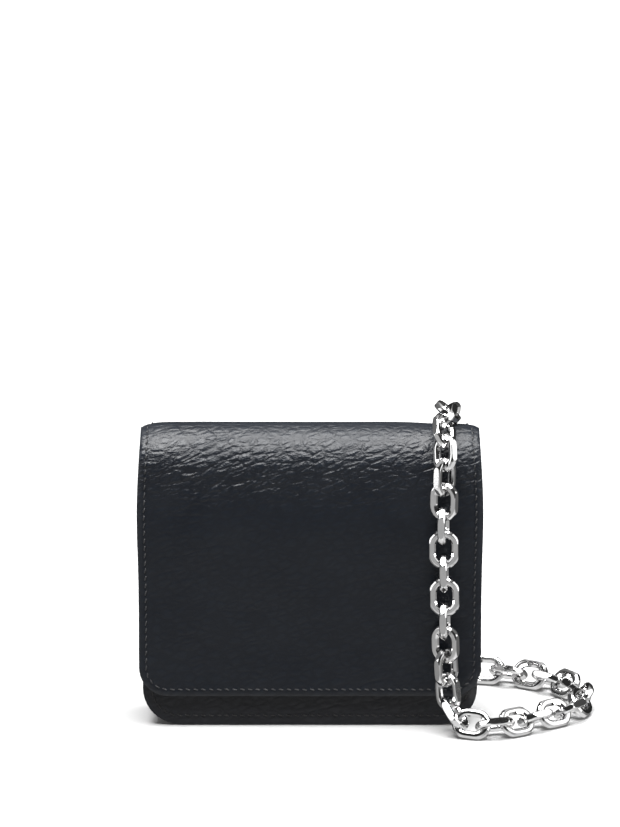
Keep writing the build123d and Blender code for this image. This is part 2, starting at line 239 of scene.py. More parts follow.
class Nodes:
    """Short way to write a node tree."""

    def __init__(self, tree):
        self.tree = tree

    def add(self, kind, inputs=None, **settings):
        node = self.tree.nodes.new(kind)
        for key, value in settings.items():
            setattr(node, key, value)
        for key, value in (inputs or {}).items():
            self.feed(node, key, value)
        return node

    def feed(self, node, key, value):
        if isinstance(value, bpy.types.NodeSocket):
            self.tree.links.new(value, node.inputs[key])
        else:
            node.inputs[key].default_value = value

    def math(self, operation, first, second=0.0):
        return self.add("ShaderNodeMath", {0: first, 1: second}, operation=operation).outputs[0]

    def plus(self, first, second):
        return self.math("ADD", first, second)

    def times(self, first, second):
        return self.math("MULTIPLY", first, second)

    def ramp(self, value, stops):
        node = self.add("ShaderNodeValToRGB", {"Fac": value})
        elements = node.color_ramp.elements
        elements[0].position, elements[0].color = stops[0][0], (*stops[0][1], 1)
        elements[1].position, elements[1].color = stops[-1][0], (*stops[-1][1], 1)
        for position, colour in stops[1:-1]:
            elements.new(position).color = (*colour, 1)
        return node.outputs["Color"]

    def range(self, value, low, high, to_low=0.0, to_high=1.0, rounded=False):
        inputs = {"Value": value, "From Min": low, "From Max": high, "To Min": to_low, "To Max": to_high}
        kind = "SMOOTHSTEP" if rounded else "LINEAR"
        return self.add("ShaderNodeMapRange", inputs, interpolation_type=kind).outputs["Result"]


class Material(Nodes):
    """A material's node tree, and the patterns that the materials share."""

    def __init__(self, name):
        self.material = bpy.data.materials.new(name)
        self.material.use_nodes = True
        super().__init__(self.material.node_tree)
        self.shader = self.tree.nodes["Principled BSDF"]
        self.place = self.add("ShaderNodeTexCoord").outputs["Object"]

    def surface(self, **values):
        for key, value in values.items():
            self.feed(self.shader, key.replace("_", " ").title(), value)

    def spread(self, turn=(0, 0, 0), stretch=(1, 1, 1)):
        """The object's coordinates for a pattern that is stretched along its own axes and then turned."""
        node = self.add("ShaderNodeMapping", {"Vector": self.place}, vector_type="TEXTURE")
        node.inputs["Rotation"].default_value = [math.radians(angle) for angle in turn]
        node.inputs["Scale"].default_value = stretch
        return node.outputs[0]

    def noise(self, vector, scale, detail=3.0, roughness=0.5):
        inputs = {"Vector": vector, "Scale": scale, "Detail": detail, "Roughness": roughness}
        return self.add("ShaderNodeTexNoise", inputs).outputs["Fac"]

    def vector_math(self, operation, inputs):
        return self.add("ShaderNodeVectorMath", inputs, operation=operation).outputs[0]

    def bent(self, vector, scale, amount):
        """The vector pushed about by noise, so that cells and lines aren't regular."""
        wander = self.add("ShaderNodeTexNoise", {"Vector": vector, "Scale": scale, "Detail": 2.0})
        centred = self.vector_math("SUBTRACT", {0: wander.outputs["Color"], 1: (0.5, 0.5, 0.5)})
        scaled = self.vector_math("SCALE", {0: centred, "Scale": amount})
        return self.vector_math("ADD", {0: vector, 1: scaled})

    def cells(self, vector, scale):
        """Distance to the nearest cell's edge: 0 in the furrows between pebbles."""
        inputs = {"Vector": vector, "Scale": scale}
        return self.add("ShaderNodeTexVoronoi", inputs, feature="DISTANCE_TO_EDGE").outputs["Distance"]

    def bump(self, height, distance, strength):
        inputs = {"Height": height, "Distance": distance, "Strength": strength}
        return self.add("ShaderNodeBump", inputs).outputs["Normal"]


def pebbled_leather(name, dark, light):
    """Milled leather: pebbles stretched along slanting creases, both deepest where the leather bends."""
    m = Material(name)
    along = m.spread(turn=(0, -18, 0), stretch=(1.55, 1, 0.9))
    wandering = m.bent(along, 240, 0.0022)
    pebbles = m.range(m.cells(wandering, 400), 0.0, 0.32, rounded=True)
    small = m.range(m.cells(m.bent(along, 500, 0.001), 1250), 0.0, 0.3, rounded=True)
    slant = m.spread(turn=(0, -19, 0), stretch=(2.7, 1.2, 0.85))
    creases = m.range(m.cells(m.bent(slant, 140, 0.008), 200), 0.0, 0.2, rounded=True)
    where = m.range(m.noise(m.place, 45, 2.0), 0.4, 0.62, 0.08, 1.0)
    furrow = m.times(m.math("SUBTRACT", 1.0, creases), where)
    pores = m.noise(m.place, 5200, 2.0)
    height = m.plus(m.times(pebbles, 0.8), m.times(small, 0.2))
    height = m.math("SUBTRACT", height, m.times(furrow, 0.95))
    height = m.plus(height, m.times(pores, 0.06))
    upright = m.add("ShaderNodeSeparateXYZ", {"Vector": m.place}).outputs["Z"]
    worked = m.range(upright, (FOLD_Z - 16.0) * MM, (FOLD_Z + 1.0) * MM, 0.22, 1.0, rounded=True)
    tight = m.range(upright, (FOLD_Z + 4.0) * MM, (FOLD_Z + 13.0) * MM, 1.0, 0.6, rounded=True)
    height = m.times(height, m.times(worked, tight))
    wear = m.noise(m.place, 60, 4.0)
    # Colour tone: random wear blotches, plus painted shade that is darker in the furrows between the pebbles and
    # lighter on their tops.
    shade = m.plus(m.times(wear, 0.6), m.times(pebbles, 0.4))
    colour = m.ramp(shade, [(0.2, dark), (0.85, light)])
    worn = m.plus(wear, m.times(pebbles, -0.25))
    m.surface(
        base_color=colour,
        roughness=m.range(worn, 0.1, 0.7, 0.35, 0.5),
        normal=m.bump(height, 0.00028, 0.9),
    )
    m.shader.inputs["Specular IOR Level"].default_value = 0.3
    m.shader.inputs["Sheen Weight"].default_value = 0.03
    m.shader.inputs["Sheen Roughness"].default_value = 0.4
    return m.material


def plain_leather(name, dark, light):
    """Smooth lining leather for the pockets, with fine pores and faint rubbed patches."""
    m = Material(name)
    pores = m.cells(m.bent(m.place, 900, 0.0006), 1900)
    clouds = m.noise(m.place, 90, 4.0)
    colour = m.ramp(clouds, [(0.3, dark), (0.75, light)])
    height = m.plus(m.range(pores, 0.0, 0.1), clouds)
    m.surface(
        base_color=colour,
        roughness=m.range(clouds, 0.3, 0.7, 0.42, 0.56),
        normal=m.bump(height, 0.00007, 0.7),
    )
    return m.material


def painted_edge(name):
    """Black edge paint: smooth and slightly uneven along the cut."""
    m = Material(name)
    waves = m.noise(m.place, 320, 2.0)
    colour = m.ramp(waves, [(0.3, (0.003, 0.003, 0.004)), (0.8, (0.007, 0.007, 0.008))])
    m.surface(
        base_color=colour,
        roughness=m.range(waves, 0.3, 0.7, 0.32, 0.46),
        normal=m.bump(waves, 0.00012, 0.5),
    )
    m.shader.inputs["Specular IOR Level"].default_value = 0.25
    return m.material


def woven(name, dark, light, pitch):
    """Plain weave: two sets of threads that go over and under each other, pitch apart in metres."""
    m = Material(name)
    turns = math.pi / pitch
    split = m.add("ShaderNodeSeparateXYZ", {"Vector": m.bent(m.place, 700, 0.00012)})
    across = m.math("SINE", m.times(split.outputs["X"], turns))
    upright = m.plus(split.outputs["Z"], split.outputs["Y"])
    along = m.math("SINE", m.times(upright, turns))
    checks = m.times(across, along)
    fibres = m.noise(m.spread(stretch=(1, 1, 0.17)), 2600, 2.0)
    height = m.plus(m.math("ABSOLUTE", checks), m.times(fibres, 0.5))
    tone = m.plus(m.times(checks, 0.3), m.noise(m.place, 420, 3.0))
    colour = m.ramp(tone, [(0.2, dark), (0.8, light)])
    m.surface(
        base_color=colour,
        roughness=m.range(fibres, 0.2, 0.8, 0.75, 0.92),
        normal=m.bump(height, 0.00012, 0.8),
    )
    m.shader.inputs["Sheen Weight"].default_value = 0.25
    return m.material


def thread(name, dark, light):
    """Waxed polyester thread: fine slanting plies with a soft shine."""
    m = Material(name)
    inputs = {"Vector": m.spread(turn=(0, 35, 0)), "Scale": 1600, "Distortion": 1.0}
    plies = m.add("ShaderNodeTexWave", inputs).outputs["Fac"]
    m.surface(
        base_color=m.ramp(plies, [(0.2, dark), (0.9, light)]),
        roughness=m.range(plies, 0.0, 1.0, 0.5, 0.34),
        normal=m.bump(plies, 0.00008, 0.7),
    )
    return m.material


def metal(name, dark, light, rough_low, rough_high):
    """Plated metal: faint scratches and handling marks in its polish."""
    m = Material(name)
    marks = m.noise(m.spread(stretch=(1, 1, 0.25)), 700, 4.0, 0.6)
    clouds = m.noise(m.place, 160, 3.0)
    colour = m.ramp(clouds, [(0.3, dark), (0.7, light)])
    m.surface(
        base_color=colour,
        roughness=m.range(marks, 0.35, 0.75, rough_low, rough_high),
        normal=m.bump(marks, 0.00001, 0.5),
    )
    m.shader.inputs["Metallic"].default_value = 1.0
    return m.material


def make_materials():
    return {
        "leather": pebbled_leather(
            "black_pebbled_leather", (0.0016, 0.0028, 0.0056), (0.0032, 0.0053, 0.0092)
        ),
        "body": pebbled_leather("black_body_leather", (0.0046, 0.0050, 0.0066), (0.0082, 0.0088, 0.0112)),
        "smooth": plain_leather("smooth_pocket_leather", (0.011, 0.011, 0.012), (0.022, 0.022, 0.024)),
        "edge": painted_edge("edge_paint"),
        "lining": woven("black_twill_lining", (0.011, 0.011, 0.012), (0.021, 0.021, 0.023), 0.00045),
        "tape": woven("zip_tape_weave", (0.009, 0.009, 0.010), (0.034, 0.034, 0.037), 0.00032),
        "thread": thread("waxed_black_thread", (0.001, 0.001, 0.001), (0.004, 0.004, 0.005)),
        # A lighter copy of the black thread for the flap's seam: its lighter colour is painted glints.
        "thread_painted_glints": thread("black_thread_painted_glints", (0.004, 0.004, 0.005), (0.030, 0.031, 0.033)),
        "chain": metal("polished_silver_chain", (0.66, 0.66, 0.665), (0.76, 0.755, 0.75), 0.05, 0.12),
        "clasp": metal("polished_silver_fittings", (0.64, 0.64, 0.645), (0.74, 0.735, 0.73), 0.08, 0.16),
        "zip": metal("nickel_zip", (0.62, 0.61, 0.60), (0.74, 0.73, 0.71), 0.14, 0.26),
        "fastener": metal("nickel_press_stud", (0.66, 0.65, 0.63), (0.78, 0.77, 0.75), 0.10, 0.22),
    }


# ---------- mesh helpers

def add_to_scene(name, data):
    obj = bpy.data.objects.new(name, data)
    bpy.context.scene.collection.objects.link(obj)
    return obj


def new_object(name, points, faces, materials, smooth_angle=40.0):
    """A mesh object from points in millimetres."""
    mesh = bpy.data.meshes.new(name)
    mesh.from_pydata([Vector(point) * MM for point in points], [], faces)
    mesh.update()
    for material in materials:
        mesh.materials.append(material)
    obj = add_to_scene(name, mesh)
    shade(obj, smooth_angle)
    return obj


def shade(obj, smooth_angle):
    mesh = obj.data
    mesh.polygons.foreach_set("use_smooth", [True] * len(mesh.polygons))
    mesh.set_sharp_from_angle(angle=math.radians(smooth_angle))


def apply_modifiers(obj):
    """The object's mesh becomes what its modifiers make of it."""
    graph = bpy.context.evaluated_depsgraph_get()
    mesh = bpy.data.meshes.new_from_object(obj.evaluated_get(graph))
    obj.modifiers.clear()
    obj.data = mesh


def thicken(obj, thickness, edge):
    """Gives a single surface its thickness, inwards, with a rounded rim in the object's second material."""
    solid = obj.modifiers.new("thickness", "SOLIDIFY")
    solid.thickness = thickness * MM
    solid.offset = -1
    solid.use_even_offset = True
    solid.material_offset_rim = 1
    bevel = obj.modifiers.new("rim", "BEVEL")
    bevel.width = edge * MM
    bevel.segments = 3
    bevel.limit_method = "ANGLE"
    bevel.angle_limit = math.radians(55)
    apply_modifiers(obj)
    shade(obj, 50)
    return obj


def grid_faces(rows, columns):
    faces = []
    for row in range(rows - 1):
        for column in range(columns - 1):
            first = row * columns + column
            faces.append((first, first + 1, first + columns + 1, first + columns))
    return faces


def tube_faces(rings, sides):
    """The faces of rings of points, one after another, and a cap on both ends."""
    faces = []
    for i in range(rings - 1):
        for j in range(sides):
            after = (j + 1) % sides
            faces.append((i * sides + j, i * sides + after, (i + 1) * sides + after, (i + 1) * sides + j))
    faces.append(tuple(reversed(range(sides))))
    faces.append(tuple(range((rings - 1) * sides, rings * sides)))
    return faces


def turned_over(faces):
    return [tuple(reversed(face)) for face in faces]


def add_copy(points, faces, template, place):
    """Adds one more copy of a template's points and faces, with each point where place(point) puts it."""
    base = len(points)
    points += [place(Vector(point)) for point in template[0]]
    faces += [tuple(base + i for i in face) for face in template[1]]


def spaced(first, last, step):
    """Numbers from first to last, evenly spaced, about step apart."""
    count = max(1, round(abs(last - first) / step))
    return [first + (last - first) * i / count for i in range(count + 1)]


def column_places(half, step):
    """Places across a sheet, closer together along both of its edges."""
    offsets = [offset for offset in EDGE_STEPS if offset < half]
    middle = spaced(-half + offsets[-1], half - offsets[-1], step)[1:-1]
    left = [-half + offset for offset in offsets]
    return left + middle + [-x for x in reversed(left)]


def row_depths(length, corner, step):
    """Distances up from a sheet's lower edge: close together round its corners, then even."""
    arcs = 10
    turn = [corner * (1 - math.cos(math.pi / 2 * i / arcs)) for i in range(arcs + 1)]
    graded = [length - left for left in UPPER_STEPS]
    return turn + spaced(corner, graded[0], step)[1:] + graded[1:]


def half_at(depth, half, corner):
    """Half a sheet's width at a height over its lower edge, whose corners are round."""
    if depth >= corner:
        return half
    return half - corner + math.sqrt(max(0.0, corner ** 2 - (corner - depth) ** 2))


def fitted(x, half, local_half):
    """A column's place where the sheet is narrower: the edge columns keep their distance from the edge."""
    spare = half - local_half
    if spare <= 0:
        return x
    reach = EDGE_STEPS[-1]
    inner = half - reach
    if abs(x) > inner:
        return math.copysign(abs(x) - spare, x)
    return x * (inner - spare) / inner


def sheet(name, half, length, corner, surface, thickness, materials, step, edge, flip):
    """A sheet with round lower corners. surface(x, depth) places a point that far up from the lower edge."""
    columns = column_places(half, step)
    rows = row_depths(length, corner, step)
    points = [
        surface(fitted(x, half, half_at(depth, half, corner)), depth) for depth in rows for x in columns
    ]
    faces = grid_faces(len(rows), len(columns))
    if flip:
        faces = turned_over(faces)
    return thicken(new_object(name, points, faces, materials), thickness, edge)


def describe(obj, slot, nodes):
    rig.slot(obj, slot)
    if nodes:
        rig.replaces(obj, *nodes)


def ride(obj, body, slot, *nodes):
    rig.ride(obj, body)
    describe(obj, slot, nodes)


def blend(obj, first, second, start, end, slot, *nodes):
    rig.blend(obj, first, second, start=Vector(start) * MM, end=Vector(end) * MM)
    describe(obj, slot, nodes)


# ---------- the outer skins

def smooth(t):
    t = min(1.0, max(0.0, t))
    return t * t * (3 - 2 * t)


class Skin(NamedTuple):
    """Sizes of one half of the wallet's skin, which hangs from the crest of the rounded top."""

    side: int  # -1 for the flap in front and 1 for the back
    out_y: float
    half: float
    low_z: float
    corner: float
    seam_in: float
    bulge: float

    @property
    def length(self):
        """From the crest, over the top and down to the lower edge."""
        return QUARTER + FOLD_Z - self.low_z

    def lining(self, low_z):
        return self._replace(half=self.half - LINING_IN, low_z=low_z, corner=self.corner - LINING_IN)


FLAP_SKIN = Skin(-1, FLAP_OUT, FLAP_HALF, FLAP_LOW, FLAP_CORNER, FLAP_SEAM_IN, FLAP_BULGE)
BACK_SKIN = Skin(1, BACK_OUT, BACK_HALF, BODY_LOW, BODY_CORNER, BODY_SEAM_IN, 0.0)


def end_droop(x, half):
    """How far the rounded top settles towards its open ends."""
    reach = 10.0
    most = 1.7
    t = max(0.0, (abs(x) - (half - reach)) / reach)
    return most * t ** 2.6


def ripple(x, s, seed, size):
    """Slow waves of worked leather."""
    place = Vector((x / 17.0 + seed, s / 11.0, seed * 0.7))
    return size * noise.noise(place)


def fullness(x, s, skin):
    """How far the leather stands out: it keeps bending a little way below the fold, then draws in again."""
    starts, grows_over = QUARTER - 10.0, 30.0
    turns, shrinks_over = QUARTER + 14.0, 58.0
    share_at_sides = 0.35
    across = 1 - abs(x / skin.half) ** 4
    swell = smooth((s - starts) / grows_over)
    ebb = smooth((s - turns) / shrinks_over)
    return skin.bulge * (share_at_sides + (1 - share_at_sides) * across) * (swell - ebb)


def crest_lift(x, s):
    """The top stands a little proud of its frame, except where the chain's weight presses it in."""
    proud = 0.75
    chain_reach = 9.0
    under_chain = math.exp(-((x - CHAIN_CROSSES_AT) / chain_reach) ** 2)
    return proud * (1 - 0.8 * under_chain) * max(0.0, math.cos(s / QUARTER * math.pi / 2))


def edge_margin(x, s, skin):
    """How far a point of a skin is from its cut edge, round the lower corners too."""
    over_x = abs(x) - (skin.half - skin.corner)
    over_s = s - (skin.length - skin.corner)
    if over_x > 0 and over_s > 0:
        return skin.corner - math.hypot(over_x, over_s)
    return min(skin.half - abs(x), skin.length - s)


def edge_shape(margin, seam_in):
    """How far the skin sinks near its edge: a furrow where the seam pulls it in, and a rolled margin."""
    furrow_deep, furrow_wide = 0.16, 0.45
    roll_deep, roll_ends = 0.5, seam_in - 0.4
    furrow = furrow_deep * math.exp(-((margin - seam_in) / furrow_wide) ** 2)
    rolled = roll_deep * max(0.0, 1 - margin / roll_ends) ** 2
    return furrow + rolled


def skin_surface(x, s, skin, inset):
    """A point of a skin, s down from the crest and inset inwards from its outer face."""
    out = ripple(x, s, 3.0 + skin.side, 0.2) * smooth(s / 8.0) + fullness(x, s, skin) - inset
    if inset == 0:
        out -= edge_shape(edge_margin(x, s, skin), skin.seam_in) * smooth(s / 6.0)
    droop = end_droop(x, skin.half)
    if s <= QUARTER:
        angle = s / QUARTER * math.pi / 2
        r = TOP_R + out + crest_lift(x, s) - droop * (1 - 0.6 * math.sin(angle))
        normal = Vector((0, skin.side * math.sin(angle), math.cos(angle)))
        return Vector((x, skin.out_y - skin.side * TOP_R, FOLD_Z)) + normal * r
    down = s - QUARTER
    y = skin.out_y + skin.side * (out - 0.4 * droop * math.exp(-down / 9.0))
    return Vector((x, y, FOLD_Z - down))


def waist(s):
    """Sideways ease: the flap is a little narrower at its top, and fullest under the fold."""
    narrow_by, narrow_over = 0.75, 17.0
    wide_by, wide_at, wide_over = 0.55, 34.0, 16.0
    fuller = wide_by * math.exp(-((s - wide_at) / wide_over) ** 2)
    return fuller - narrow_by * math.exp(-(s / narrow_over) ** 2)


def skin_place(skin, x, height, inset=0.0):
    """A point of a skin at a height over its lower edge, with the sideways ease."""
    s = skin.length - height
    return skin_surface(x * (1 + waist(s) / skin.half), s, skin, inset)


def make_skin(name, skin, inset, thickness, materials):
    """Half of the rounded top, with the flap or the back panel that hangs from it."""
    def surface(x, depth):
        return skin_place(skin, x, depth, inset)

    return sheet(
        name, skin.half, skin.length, skin.corner, surface, thickness, materials, step=1.25, edge=SKIN_RIM,
        flip=skin.side > 0,
    )


def make_outer_skins(looks):
    leather = [looks["leather"], looks["edge"]]
    cloth = [looks["lining"]] * 2
    flap = make_skin("flap_and_front_top", FLAP_SKIN, 0.0, FLAP_THICK, leather)
    blend_front(flap, "grained_leather", "flap_leather", "flap_board", "top_leather")
    back = make_skin("back_panel_and_rear_top", BACK_SKIN, 0.0, BACK_THICK, leather)
    blend_back(back, "grained_leather", "back_panel_leather", "top_leather")
    inner = FLAP_SKIN.lining(FLAP_LOW + LINING_IN)
    flap_lining = make_skin("flap_lining_cloth", inner, FLAP_THICK + LINING_GAP, LINING_THICK, cloth)
    blend_front(flap_lining, "lining", "flap_lining", "top_lining")
    inner = BACK_SKIN.lining(BACK_LINING_LOW)
    back_lining = make_skin("back_lining_cloth", inner, BACK_THICK + LINING_GAP, LINING_THICK, cloth)
    blend_back(back_lining, "lining", "back_panel_lining", "top_lining")


def blend_front(obj, slot, *nodes):
    start = (0, FLAP_OUT, FOLD_Z + FOLD_REACH)
    blend(obj, "top", "flap", start, (0, FLAP_OUT, FOLD_Z - FOLD_REACH), slot, *nodes)


def blend_back(obj, slot, *nodes):
    start = (0, BACK_OUT, FOLD_Z - FOLD_REACH)
    blend(obj, "body", "top", start, (0, BACK_OUT, FOLD_Z + FOLD_REACH), slot, *nodes)


# ---------- stitches

STITCH_PITCH = 2.5
STITCH_LONG = 1.9
STITCH_R = 0.24
SEAM_SLANT = 14.0


def stitch_mesh():
    """A stitch along X that dives into the leather at both ends, thickest in the middle."""
    rings = 7
    sides = 7
    points = []
    for i in range(rings):
        t = i / (rings - 1)
        r = STITCH_R * math.sin(math.pi * (0.08 + 0.84 * t)) ** 0.5
        lift = STITCH_R * (0.55 - 1.5 * (2 * t - 1) ** 4)
        for j in range(sides):
            a = 2 * math.pi * j / sides
            points.append((STITCH_LONG * (t - 0.5), r * math.cos(a), lift + r * math.sin(a)))
    return points, tube_faces(rings, sides)


def along_line(points, pitch):
    """Places and directions evenly spaced along a line of points."""
    places = []
    travelled = pitch / 2
    position = 0.0
    for first, second in zip(points, points[1:]):
        step = (second - first).length
        while travelled <= position + step and step > 0:
            places.append((first.lerp(second, (travelled - position) / step), (second - first).normalized()))
            travelled += pitch
        position += step
    return places


def towards(y):
    """Which way a seam on an upright sheet faces: the same at every place."""
    return lambda place: Vector((0, y, 0))


def make_stitches(name, line, normal_of, material, slant, seed):
    """Slanting saddle stitches along a line that lies on the leather."""
    rng = random.Random(seed)
    template = stitch_mesh()
    points = []
    faces = []
    for place, along in along_line(line, STITCH_PITCH):
        normal = normal_of(place)
        tangent = (along - normal * along.dot(normal)).normalized()
        tangent = Matrix.Rotation(math.radians(slant + rng.uniform(-3, 3)), 3, normal) @ tangent
        turn = Matrix((tangent, normal.cross(tangent), normal)).transposed()
        add_copy(points, faces, template, lambda point: place + turn @ point)
    return new_object(name, points, faces, [material], 60)


def u_line(half, low, high, corner, place):
    """Down one side, round the two lower corners and up the other side, through place(x, z)."""
    turn = [math.pi / 2 * i / 12 for i in range(1, 12)]
    flat = [(-half, z) for z in spaced(high, low + corner, 1.5)]
    flat += [(-half + corner * (1 - math.cos(a)), low + corner * (1 - math.sin(a))) for a in turn]
    flat += [(x, low) for x in spaced(-half + corner, half - corner, 2.0)]
    flat += [(half - corner * (1 - math.sin(a)), low + corner * (1 - math.cos(a))) for a in turn]
    flat += [(half, z) for z in spaced(low + corner, high, 1.5)]
    return [place(x, z) for x, z in flat]


def skin_seam(name, skin, seed, material):
    """The seam that runs round a skin, a little in from its edge."""
    def place(x, height):
        return skin_place(skin, x, height)

    def normal_of(point):
        if point.z <= FOLD_Z:
            return Vector((0, skin.side, 0))
        return Vector((0, point.y - (skin.out_y - skin.side * TOP_R), point.z - FOLD_Z)).normalized()

    inner = skin.half - skin.seam_in
    line = u_line(inner, skin.seam_in, skin.length - 1.0, skin.corner - skin.seam_in, place)
    return make_stitches(name, line, normal_of, material, SEAM_SLANT * skin.side, seed)


def make_seams(looks):
    # The flap's seam takes the lighter thread, whose colour is painted glints.
    front = skin_seam("flap_seam_thread", FLAP_SKIN, 11, looks["thread_painted_glints"])
    blend_front(front, "thread", "flap_stitching", "top_stitching")
    back = skin_seam("back_seam_thread", BACK_SKIN, 12, looks["thread"])
    blend_back(back, "thread", "back_panel_stitching", "top_stitching")
    out_y = FRONT_LOW_CORNER.y
    line = u_line(
        FRONT_HALF - BODY_SEAM_IN, BODY_SEAM_IN + 0.3, FRONT_HIGH_CORNER.z - 3.0, BODY_CORNER - BODY_SEAM_IN,
        lambda x, z: Vector((x, out_y, z)),
    )
    panel = make_stitches("front_seam_thread", line, towards(-1), looks["thread"], -SEAM_SLANT, 13)
    ride(panel, "body", "thread", "front_panel_stitching")


# ---------- body panels and pockets

def flat_panel(name, node, corner, faces_front, materials, edge, low_rise=0.0):
    """An upright leather or cloth sheet in the place of its CAD node."""
    low, high = in_mm(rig.box(node))
    half = high.x
    outer = low.y if faces_front else high.y
    side = -1 if faces_front else 1
    base = low.z + low_rise

    def surface(x, depth):
        across = max(0.0, 1 - (x / half) ** 2)
        wave = ripple(x, depth, len(name) * 0.37, 0.12)
        return Vector((x, outer + side * (wave * across), base + depth))

    return sheet(
        name, half, high.z - base, corner, surface, high.y - low.y, materials, 2.4, edge, flip=not faces_front
    )


def make_body_panels(looks):
    node = "front_panel_leather"
    leather = [looks["body"], looks["edge"]]
    front = flat_panel("front_panel_skin", node, BODY_CORNER, True, leather, SKIN_RIM, BODY_LOW)
    ride(front, "body", "grained_leather", node)
    node = "front_panel_lining"
    cloth = [looks["lining"]] * 2
    lining = flat_panel("front_lining_cloth", node, BODY_CORNER - LINING_IN, False, cloth, 0.12)
    ride(lining, "body", "lining", node)


def make_pockets(looks):
    pieces = (
        ("bill_divider_leather", "bill_divider"),
        ("coin_pocket_rear_leather", "coin_pocket_wall"),
        ("card_panel_rear_leather", "card_panel_rear"),
        ("card_panel_front_leather", "card_panel_front"),
    )
    for name, node in pieces:
        panel = flat_panel(name, node, POCKET_CORNER, True, [looks["smooth"], looks["edge"]], 0.22)
        ride(panel, "body", "smooth_leather", node)
        low, high = in_mm(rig.box(node))
        hem = high.z - 2.2
        line = [Vector((x, low.y, hem)) for x in spaced(low.x + 2.5, high.x - 2.5, 2.0)]
        seam = make_stitches(f"{name}_seam", line, towards(-1), looks["thread"], -12.0, 21)
        ride(seam, "body", "thread")


# ---------- gusset

GUSSET_THICK = 0.9
GUSSET_FOLD = 4.4  # how much further it folds inwards at the mouth than along the ground
GUSSET_SAG = 1.6  # how far its fold hangs down at the mouth


def gusset_row(point, inward, low, high, shares):
    """Points across the gusset at one place of its path, from the front panel to the back."""
    fold_starts, deepens_over, sags_over = 8.0, 26.0, 12.0
    side_share = smooth((point.z - fold_starts) / deepens_over)
    depth = 0.35 + GUSSET_FOLD * side_share
    sag = GUSSET_SAG * side_share * smooth((point.z - (high.z - sags_over)) / sags_over)
    row = []
    for share in shares:
        fold = (1 - abs(2 * share - 1) ** 1.7) * depth
        dip = Vector((0, 0, -sag * math.sin(math.pi * share)))
        across = Vector((0, low.y + (high.y - low.y) * share, 0))
        row.append(point + across + inward * fold + dip)
    return row


def make_gusset(looks):
    """The side and bottom leather between front and back, folded inwards like bellows at both sides."""
    low, high = in_mm(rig.box("gusset_band"))
    base = low.z + 0.7
    path = u_line(high.x - 0.5, base, high.z, BODY_CORNER - 0.6, lambda x, z: Vector((x, 0, z)))
    middle = Vector((0, 0, (base + high.z) / 2))
    shares = [i / 16 for i in range(17)]
    points = []
    for i, point in enumerate(path):
        before = path[max(0, i - 1)]
        after = path[min(len(path) - 1, i + 1)]
        along = (after - before).normalized()
        inward = Vector((along.z, 0, -along.x))
        if inward.dot(middle - point) < 0:
            inward.negate()
        points += gusset_row(point, inward, low, high, shares)
    faces = grid_faces(len(path), len(shares))
    obj = new_object("side_gusset_bellows", points, faces, [looks["body"], looks["edge"]])
    thicken(obj, GUSSET_THICK, 0.22)
    ride(obj, "body", "grained_leather", "gusset_band")


def make_coin_bag(looks):
    """Cloth bag of the coin pocket: front, bottom and rear in one piece, closed at both ends."""
    low, high = in_mm(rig.box("coin_pocket_bag"))
    half = high.x - 0.2
    middle = (low.y + high.y) / 2
    depth = (high.y - low.y) / 2 - 0.25
    columns = spaced(-half, half, 3.0)
    turn = spaced(0.2, math.pi - 0.2, 0.35)
    profile = [(-1.0, z) for z in spaced(high.z, low.z + 3.2, 3.0)]
    profile += [(-math.cos(a), low.z + 0.4 + 2.8 * (1 - math.sin(a))) for a in turn]
    profile += [(1.0, z) for z in spaced(low.z + 3.2, high.z, 3.0)]
    points = []
    for share, z in profile:
        for x in columns:
            open_by = max(0.0, 1 - abs(x / half) ** 5) ** 0.5
            crumple = min(0.0, ripple(x, z, 7.3 + share, 0.25))
            points.append(Vector((x, middle + share * open_by * (depth + crumple), z)))
    faces = grid_faces(len(profile), len(columns))
    obj = new_object("coin_pocket_lining_bag", points, faces, [looks["lining"]] * 2)
    thicken(obj, 0.2, 0.06)
    ride(obj, "body", "lining", "coin_pocket_bag")


# ---------- zip

TOOTH_PITCH = 1.3
TAPE_DROP = 4.5  # how far the tape hangs down over the pocket wall
TAPE_THICK = 0.32
ZIP_ROWS = (("front", 1, -1.15), ("rear", -1, 5.95))  # which way the teeth point, and the tape's outer face


def tooth_mesh(side):
    """One moulded tooth: a shank that grips the tape and a wider head towards the other row."""
    outline = ((0.0, 0.28), (0.35, 0.26), (0.55, 0.40), (0.80, 0.40), (0.98, 0.24))
    heights = ((-0.78, 0.72), (-0.55, 1.0), (0.55, 1.0), (0.78, 0.72))
    loop = [(reach, wide) for reach, wide in outline] + [(reach, -wide) for reach, wide in reversed(outline)]
    points = [(wide * size, side * reach, z) for z, size in heights for reach, wide in loop]
    faces = tube_faces(len(heights), len(loop))
    return points, turned_over(faces) if side < 0 else faces


def make_zip(looks):
    """Two rows of teeth, each on its woven tape, which is folded down over the pocket wall."""
    for name, side, outer in ZIP_ROWS:
        node = f"zip_teeth_{name}"
        low, high = in_mm(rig.box(node))
        root = low.y if side > 0 else high.y
        middle_z = (low.z + high.z) / 2
        shift = TOOTH_PITCH / 2 if side < 0 else 0.0
        template = tooth_mesh(side)
        points = []
        faces = []
        for x in spaced(low.x + 0.6, high.x - 1.2, TOOTH_PITCH):
            place = Vector((x + shift, root, middle_z))
            add_copy(points, faces, template, lambda point: point + place)
        ride(new_object(f"{node}_row", points, faces, [looks["zip"]], 35), "body", "zip_metal", node)
        make_tape(name, side, outer, root, looks)


